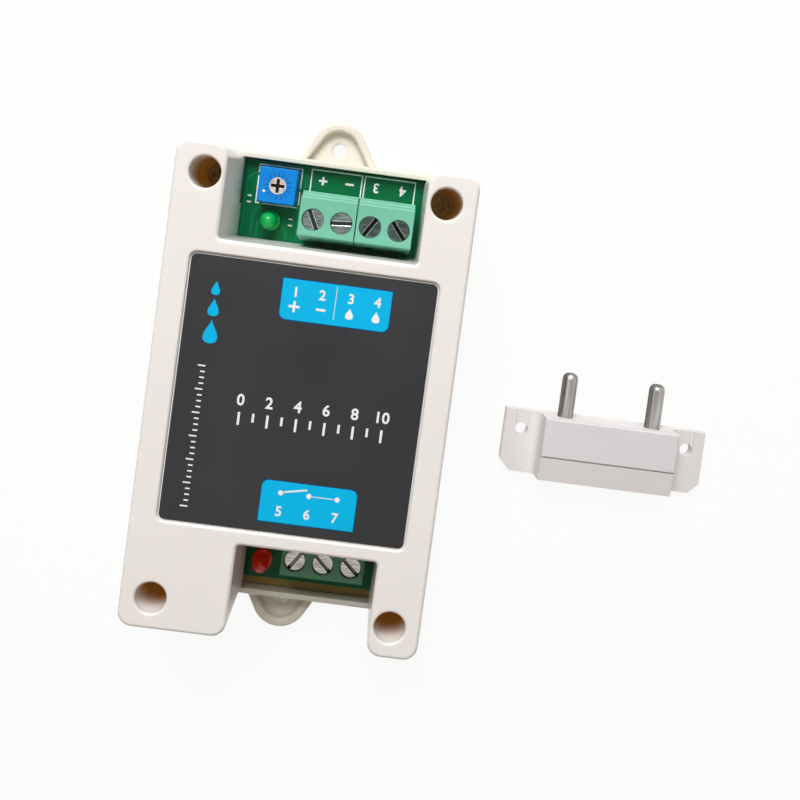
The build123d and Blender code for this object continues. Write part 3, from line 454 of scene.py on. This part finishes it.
# glass epoxy board under solder mask: clear deep green, smooth, the glass weave just shows
boardSet = {
    "colour": "#026C40", "shade": "#025E35", "driftSize": 7, "weaveSize": 0.45, "weaveGap": 0.06,
    "weaveDepth": 0.004, "roughness": (0.2, 0.32), "paintedEndShade": "#9A8A4E", "paintedEndShadeMargin": 1.4, "paintedEndShadeFade": 0.15,
}
boardMaterial, tree, shader, place = startMaterial("solder mask green", {"IOR": 1.5, "Specular IOR Level": 0.12})
drift = addNode(tree, "TexNoise", {"Vector": place, "Scale": 1 / (boardSet["driftSize"] * mm), "Detail": 2.0})
mask = addNode(
    tree, "Mix", {0: drift.outputs[0], 6: linear(boardSet["colour"]), 7: linear(boardSet["shade"])}, data_type="RGBA"
)
# painted shade: an olive straw strip along the board's lower end, where shade falls by the tray's end wall
along = addNode(tree, "SeparateXYZ", {0: place}).outputs["Y"]
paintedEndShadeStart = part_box("circuit_board")[0].y + boardSet["paintedEndShadeMargin"] * mm
paintedEndShade = addNode(tree, "MapRange", {
    "Value": along, "From Min": paintedEndShadeStart, "From Max": paintedEndShadeStart - boardSet["paintedEndShadeFade"] * mm,
})
face = addNode(
    tree, "Mix", {0: paintedEndShade.outputs[0], 6: mask.outputs[2], 7: linear(boardSet["paintedEndShade"])}, data_type="RGBA"
)
tree.links.new(face.outputs[2], shader.inputs["Base Color"])
weave = addNode(tree, "TexBrick", {
    "Vector": place, "Scale": 1.0, "Color1": (1, 1, 1, 1), "Color2": (0.6, 0.6, 0.6, 1), "Mortar": (0, 0, 0, 1),
    "Mortar Size": boardSet["weaveGap"] * mm, "Mortar Smooth": 1.0,
    "Brick Width": boardSet["weaveSize"] * mm, "Row Height": boardSet["weaveSize"] * mm,
})
low, high = boardSet["roughness"]
gloss = addNode(tree, "MapRange", {"Value": drift.outputs[0], "To Min": low, "To Max": high})
tree.links.new(gloss.outputs[0], shader.inputs["Roughness"])
bump = addNode(tree, "Bump", {"Height": weave.outputs[0], "Distance": boardSet["weaveDepth"] * mm})
tree.links.new(bump.outputs[0], shader.inputs["Normal"])
dress(boardMaterial, ["circuit_board"])
print("board and lamps dressed")

crispRadius = 0.02  # millimetres, corners of printed lines and bars


# closed outline of a rectangle with its own radius at each corner, anticlockwise from lower right
def cornered(left, low, right, high, radii, steps=7):
    spots = np.array([(right, low), (right, high), (left, high), (left, low)], float)
    inward = np.array([(-1, 1), (-1, -1), (1, -1), (1, 1)], float)
    radius = np.array(radii, float)[:, None, None]
    angle = np.radians(np.array([-90, 0, 90, 180])[:, None] + np.linspace(0, 90, steps)[None, :])
    arc = np.stack([np.cos(angle), np.sin(angle)], -1)
    return (spots[:, None] + radius * (inward[:, None] + arc)).reshape(-1, 2)


# closed outline of a circle: centre plus radius times (cos, sin)
def circleLine(x, y, radius, steps=40):
    angle = np.linspace(0, 2 * math.pi, steps + 1)[:-1]
    return np.stack([x + radius * np.cos(angle), y + radius * np.sin(angle)], -1)


# closed outline of a drop: half width sin(t) times sin(t / 2) squared, height cos(t), point up at t = 0
def dropLine(x, y, width, height, steps=36):
    fullness = 0.77  # makes the widest place, at t = 120 degrees, as wide as the given width
    t = np.linspace(0, 2 * math.pi, steps + 1)[:-1]
    return np.stack([x + width * fullness * np.sin(t) * np.sin(t / 2) ** 2, y + height / 2 * np.cos(t)], -1)


# thin plate on an outline: a fan from its middle above and below, and a wall between the two edges
def plate(outline, low, high):
    count = len(outline)
    middle = outline.mean(0)
    ring = np.arange(count)
    after = (ring + 1) % count
    points = np.vstack([
        np.column_stack([outline, np.full(count, high)]), np.column_stack([outline, np.full(count, low)]),
        [[*middle, high]], [[*middle, low]],
    ])
    top = np.stack([ring, after, np.full(count, 2 * count)], -1)
    under = np.stack([after + count, ring + count, np.full(count, 2 * count + 1)], -1)
    side = np.stack([ring, ring + count, after + count, after], -1)
    return points, top.tolist() + under.tolist() + side.tolist()


# flat line between two outlines of equal count: a closed loop of four edges, top out, top in, low in, low out
def band(outer, inner, low, high):
    count = len(outer)
    points = np.vstack([
        np.column_stack([line, np.full(count, z)])
        for line, z in ((outer, high), (inner, high), (inner, low), (outer, low))
    ])
    edge, spot = np.meshgrid(np.arange(4), np.arange(count), indexing="ij")
    nextEdge, nextSpot = (edge + 1) % 4, (spot + 1) % count
    faces = np.stack([
        edge * count + spot, edge * count + nextSpot, nextEdge * count + nextSpot, nextEdge * count + spot,
    ], -1).reshape(-1, 4)
    return points, faces.tolist()


# rectangle drawn as a line of the given width, inside the given edges
def boxLine(left, low, right, high, width, z0, z1):
    radii = (crispRadius,) * 4
    outer = cornered(left, low, right, high, radii, steps=2)
    inner = cornered(left + width, low + width, right - width, high - width, radii, steps=2)
    return band(outer, inner, z0, z1)


# rectangle filled with ink, about its middle
def bar(x, y, width, height, z0, z1):
    outline = cornered(x - width / 2, y - height / 2, x + width / 2, y + height / 2, (crispRadius,) * 4)
    return plate(outline, z0, z1)


# straight stroke between two points: half the width to each side of the line
def stroke(start, finish, width, z0, z1):
    start, finish = np.array(start, float), np.array(finish, float)
    along = (finish - start) / np.linalg.norm(finish - start)
    across = np.array([-along[1], along[0]]) * width / 2
    return plate(np.array([start - across, finish - across, finish + across, start + across]), z0, z1)


# strip along a path: at each point the side lines lie half a width off, on the mitre of the two runs
def track(path, width, z0, z1):
    path = np.array(path, float)
    runs = np.diff(path, axis=0)
    runs /= np.linalg.norm(runs, axis=1)[:, None]
    before, after = np.vstack([runs[:1], runs]), np.vstack([runs, runs[-1:]])
    middle = before + after
    middle /= np.linalg.norm(middle, axis=1)[:, None]
    mitre = np.stack([-middle[:, 1], middle[:, 0]], -1) / (middle * before).sum(1)[:, None] * width / 2
    count = len(path)
    points = np.vstack([
        np.column_stack([path + side * mitre, np.full(count, z)])
        for side, z in ((-1, z1), (1, z1), (1, z0), (-1, z0))
    ])
    edge, spot = np.meshgrid(np.arange(4), np.arange(count - 1), indexing="ij")
    following = (edge + 1) % 4
    faces = np.stack([
        edge * count + spot, edge * count + spot + 1, following * count + spot + 1, following * count + spot,
    ], -1).reshape(-1, 4)
    ends = [[0, count, 2 * count, 3 * count], [4 * count - 1, 3 * count - 1, 2 * count - 1, count - 1]]
    return points, faces.tolist() + ends


# plus sign as one outline: three corners in each quarter, carried round by quarter turns
def plusSign(x, y, size, weight, z0, z1):
    half, thin = size / 2, weight / 2
    quarter = np.array([(half, -thin), (half, thin), (thin, thin)])
    turns = [
        np.array([[math.cos(angle), math.sin(angle)], [-math.sin(angle), math.cos(angle)]])
        for angle in np.arange(4) * math.pi / 2
    ]
    return plate(np.vstack([quarter @ turn for turn in turns]) + (x, y), z0, z1)


# a printed number: the font's flat outline given the ink's thickness, then scaled, turned and placed
def numeral(text, x, y, height, z0, z1, turned=False):
    curve = bpy.data.curves.new("numeral", "FONT")
    curve.body = text
    curve.extrude = 0.5
    curve.offset = 0.025  # heavier strokes
    curve.resolution_u = 4
    holder = bpy.data.objects.new("numeral", curve)
    scene.collection.objects.link(holder)
    mesh = bpy.data.meshes.new_from_object(holder.evaluated_get(bpy.context.evaluated_depsgraph_get()))
    points = np.empty(len(mesh.vertices) * 3)
    mesh.vertices.foreach_get("co", points)
    points = points.reshape(-1, 3)
    faces = [list(face.vertices) for face in mesh.polygons]
    bpy.data.objects.remove(holder)
    bpy.data.curves.remove(curve)
    bpy.data.meshes.remove(mesh)
    low, high = points.min(0), points.max(0)
    scale = height / (high[1] - low[1])
    flat = (points[:, :2] - (low[:2] + high[:2]) / 2) * scale * (-1 if turned else 1) + (x, y)
    level = z0 + (points[:, 2] - low[2]) / (high[2] - low[2]) * (z1 - z0)
    return np.column_stack([flat, level]), faces


# shapes in millimetres joined into one piece that rides on a body
def printPiece(name, shapes, material, body):
    starts = np.cumsum([0] + [len(points) for points, _ in shapes])
    points = np.vstack([points for points, _ in shapes]) * mm
    faces = [np.add(face, start).tolist() for (_, group), start in zip(shapes, starts) for face in group]
    mesh = bpy.data.meshes.new(name)
    mesh.from_pydata(points.tolist(), [], faces)
    mesh.validate()
    mesh.materials.append(material)
    piece = bpy.data.objects.new(name, mesh)
    scene.collection.objects.link(piece)
    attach(piece, body)


# screen ink: even colour with the mesh's fine ripple, a little duller than the film
def screenInk(name, colour, shade, roughness):
    return mouldedPlastic({
        "name": name, "nodes": [], "colour": colour, "shade": shade, "driftSize": 5, "skinSize": 0.18,
        "skinDepth": 0.002, "roughness": roughness, "surface": {"IOR": 1.48, "Specular IOR Level": 0.18},
    })


inkCyan = screenInk("ink cyan", "#04BDF4", "#04B5EA", (0.36, 0.46))
inkDeep = screenInk("ink deep blue", "#0B5288", "#0A4A7B", (0.36, 0.46))
tickShadeBlue = screenInk("painted tick shade blue", "#0F58A6", "#0E5099", (0.4, 0.5))
inkWhite = screenInk("ink white", "#FBFBFB", "#F4F4F5", (0.4, 0.5))

# label print, in millimetres on the film: two fields of left, low, right and high, and what stands on them
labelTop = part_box("front_label")[1].z / mm
printSet = {
    "ink": 0.012, "edge": 0.16,
    "upper": (-5.1, 13.55, 13.4, 20.45), "lower": (-4.2, -20.85, 12.0, -13.8),
    "fieldRound": 1.15, "fieldSquare": 0.1,  # radii at a field's inner and outer corners
    "divider": (4.05, 17.3, 0.13, 5.7),  # middle, width and height
    "upperPoles": (-2.75, 1.75, 6.6, 11.1), "lowerPoles": (-0.9, 3.9, 8.7),
    "signRow": 15.85, "numberRow": 18.35, "postRow": -15.75, "lowerRow": -18.9,
    "plusSize": 1.9, "minusSize": 1.615, "signWeight": 0.42, "dropSize": (1.35, 2.0), "numberHeight": 1.75,
    "postRadius": 0.45,
    "arm": ((-0.35, -15.55), (3.5, -14.75)), "armWidth": 0.3,
    "link": ((4.5, -15.75), (8.1, -15.75)), "linkWidth": 0.16,
    "drops": ((-16.1, 17.3, 1.5, 2.5), (-16.1, 14.0, 1.9, 3.1), (-16.1, 9.9, 2.5, 4.1)),
}
# level scale down the left edge; a mark is the place and width of a bar
levelSet = {
    "count": 25, "top": 4.0, "pitch": 1.0, "every": 4, "weight": 0.26,
    "long": (-16.85, 1.3), "short": (-16.6, 0.8),
}
# scale across the middle; a mark is the place and height of a bar, a long one has a number over it
scaleSet = {
    "count": 11, "left": -9.6, "pitch": 2.42, "every": 2, "weight": 0.42,
    "long": (-4.1, 2.2), "short": (-3.75, 1.5), "numberRow": -0.9, "numberHeight": 2.0,
}
z0, z1 = labelTop, labelTop + printSet["ink"]
z2, z3 = z1 + printSet["ink"], z1 + 2 * printSet["ink"]
edge, big, small = printSet["edge"], printSet["fieldRound"], printSet["fieldSquare"]
deepShapes, cyanShapes, whiteShapes = [], [], []
for box, radii in (
    (printSet["upper"], (big, small, small, big)), (printSet["lower"], (small, big, big, small)),
):
    left, low, right, high = box
    wide = (left - edge, low - edge, right + edge, high + edge)
    deepShapes.append(plate(cornered(*wide, [radius + edge for radius in radii]), z0, z1))
    cyanShapes.append(plate(cornered(*box, radii), z0, z2))
x, y, width, height = printSet["divider"]
whiteShapes.append(bar(x, y, width, height, z2, z3))
# poles: a number over or under each, plus and minus on the first pair, drops on the second
signRow, weight, tall = printSet["signRow"], printSet["signWeight"], printSet["numberHeight"]
upperPoles, lowerPoles = printSet["upperPoles"], printSet["lowerPoles"]
whiteShapes += [
    plusSign(upperPoles[0], signRow, printSet["plusSize"], weight, z2, z3),
    bar(upperPoles[1], signRow, printSet["minusSize"], weight, z2, z3),
]
whiteShapes += [
    numeral(text, x, printSet["numberRow"], tall, z2, z3) for text, x in zip("1234", upperPoles)
]
whiteShapes += [plate(dropLine(x, signRow, *printSet["dropSize"]), z2, z3) for x in upperPoles[2:]]
whiteShapes += [
    numeral(text, x, printSet["lowerRow"], tall, z2, z3) for text, x in zip("567", lowerPoles)
]
# three drops above the level scale
cyanShapes += [plate(dropLine(*drop), z0, z2) for drop in printSet["drops"]]
for step in range(levelSet["count"]):
    x, width = levelSet["short" if step % levelSet["every"] else "long"]
    y = levelSet["top"] - levelSet["pitch"] * step
    whiteShapes.append(bar(x, y, width, levelSet["weight"], z0, z1))
for step in range(scaleSet["count"]):
    x = scaleSet["left"] + scaleSet["pitch"] * step
    short = step % scaleSet["every"]
    y, height = scaleSet["short" if short else "long"]
    if not short:
        whiteShapes.append(numeral(str(step), x, scaleSet["numberRow"], scaleSet["numberHeight"], z0, z1))
    whiteShapes.append(bar(x, y, scaleSet["weight"], height, z0, z1))
# changeover contact over the lower numbers: three posts, an arm from the first and a link between the others
whiteShapes += [
    plate(circleLine(x, printSet["postRow"], printSet["postRadius"], steps=24), z2, z3) for x in lowerPoles
]
whiteShapes.append(stroke(*printSet["arm"], printSet["armWidth"], z2, z3))
whiteShapes.append(stroke(*printSet["link"], printSet["linkWidth"], z2, z3))
printPiece("label_print_edges", deepShapes, inkDeep, "case")
printPiece("label_print_fields", cyanShapes, inkCyan, "case")
printPiece("label_print_marks", whiteShapes, inkWhite, "case")
print("label printed")

# white legend on the board: frames round the parts, plus, minus and numbers for the poles
legendSet = {
    "ink": 0.02, "line": 0.24, "edgeGap": 0.3,
    "signRow": 37.9, "signSize": 1.6, "signWeight": 0.42, "numberHeight": 1.9,
    "blockFrame": (0.08, 0.3),  # how far inside the block the frame's sides and low end lie
    "trimmerFrame": (0.95, 0.4, 0.4, 0.6),  # margins at left, below, right and above
    "relayFrame": 0.3,  # margin all round
    "dashes": ((-15.6, 33.4), (-15.6, 32.2), (-7.3, 29.9), (-7.3, 28.7)), "dashSize": (0.8, 0.3),
}
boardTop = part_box("circuit_board")[1].z / mm
b0, b1 = boardTop, boardTop + legendSet["ink"]
line = legendSet["line"]
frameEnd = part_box("circuit_board")[1].y / mm - legendSet["edgeGap"]


# left, low, right and high of a node, in millimetres
def plan(name):
    low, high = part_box(name)
    return low.x / mm, low.y / mm, high.x / mm, high.y / mm


legend = []
for name in ("power_terminal", "sensor_terminal"):
    left, low, right, high = plan(name)
    aside, inside = legendSet["blockFrame"]
    legend.append(boxLine(left + aside, low + inside, right - aside, frameEnd, line, b0, b1))
left, low, right, high = plan("trimmer_body")
beside, below, beyond, above = legendSet["trimmerFrame"]
legend.append(boxLine(left - beside, low - below, right + beyond, high + above, line, b0, b1))
left, low, right, high = plan("relay_terminal")
margin = legendSet["relayFrame"]
legend.append(boxLine(left - margin, low - margin, right + margin, high + margin, line, b0, b1))
poles = [sum(plan(f"{block}_clamp_screw_{i}")[0::2]) / 2 for block in ("power", "sensor") for i in (1, 2)]
row, sign = legendSet["signRow"], legendSet["signSize"]
legend += [
    plusSign(poles[0], row, sign, legendSet["signWeight"], b0, b1),
    bar(poles[1], row, sign, legendSet["signWeight"], b0, b1),
    numeral("3", poles[2], row, legendSet["numberHeight"], b0, b1, True),
    numeral("4", poles[3], row, legendSet["numberHeight"], b0, b1, True),
]
legend += [bar(x, y, *legendSet["dashSize"], b0, b1) for x, y in legendSet["dashes"]]  # beside the parts
printPiece("board_legend", legend, inkWhite, "case")

# copper tracks under the mask, which stand up a little and look lighter
trackSet = {
    "rise": 0.035, "width": 0.55,
    "paths": (
        ((-14.6, 25.8), (-14.6, 30.2), (-13.4, 31.4), (-13.4, 32.6)),
        ((-12.3, 28.6), (-13.5, 28.6), (-13.5, 25.8)),
        ((-9.0, 28.6), (-7.9, 27.5), (-7.9, 25.8)),
        ((-6.9, 33.0), (-5.9, 32.0), (-5.9, 25.8)),
        ((-16.4, 25.8), (-16.4, 36.5), (-15.2, 37.7), (-14.2, 37.7)),
        ((-5.3, 39.0), (-5.3, 36.4), (-6.3, 35.4)),
    ),
}
copperMask = mouldedPlastic({
    "name": "solder mask over copper", "nodes": [], "colour": "#077B4B", "shade": "#077044", "driftSize": 4,
    "skinSize": 0.3, "skinDepth": 0.002, "roughness": (0.2, 0.3),
    "surface": {"IOR": 1.5, "Specular IOR Level": 0.12},
})
tracks = [track(path, trackSet["width"], b0, b0 + trackSet["rise"]) for path in trackSet["paths"]]
printPiece("board_tracks", tracks, copperMask, "case")
print("board legend and tracks printed")

# scale round the trimmer's rotor: radial strokes in darker blue, painted shade of moulded ticks, and a dot at one
# side
tickSet = {"inner": 1.75, "outer": 2.6, "width": 0.16, "rise": 0.02, "count": 16, "paintedGlint": (-2.4, -1.2, 0.26)}
left, low, right, high = plan("trimmer_body")
centre = np.array([left + right, low + high]) / 2
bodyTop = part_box("trimmer_body")[1].z / mm
tickTop = bodyTop + tickSet["rise"]
rays = circleLine(0, 0, 1, steps=tickSet["count"])  # unit arrows, evenly round
ticks = [
    stroke(centre + tickSet["inner"] * ray, centre + tickSet["outer"] * ray, tickSet["width"], bodyTop, tickTop)
    for ray in rays
]
printPiece("trimmer_marks", ticks, tickShadeBlue, "case")
# painted highlight: a white dot where a moulded dimple catches the light
dotX, dotY, dotRadius = tickSet["paintedGlint"]
paintedGlint = plate(circleLine(centre[0] + dotX, centre[1] + dotY, dotRadius, steps=20), bodyTop, tickTop)
printPiece("trimmer_painted_glint", [paintedGlint], inkWhite, "case")
print("trimmer marked")
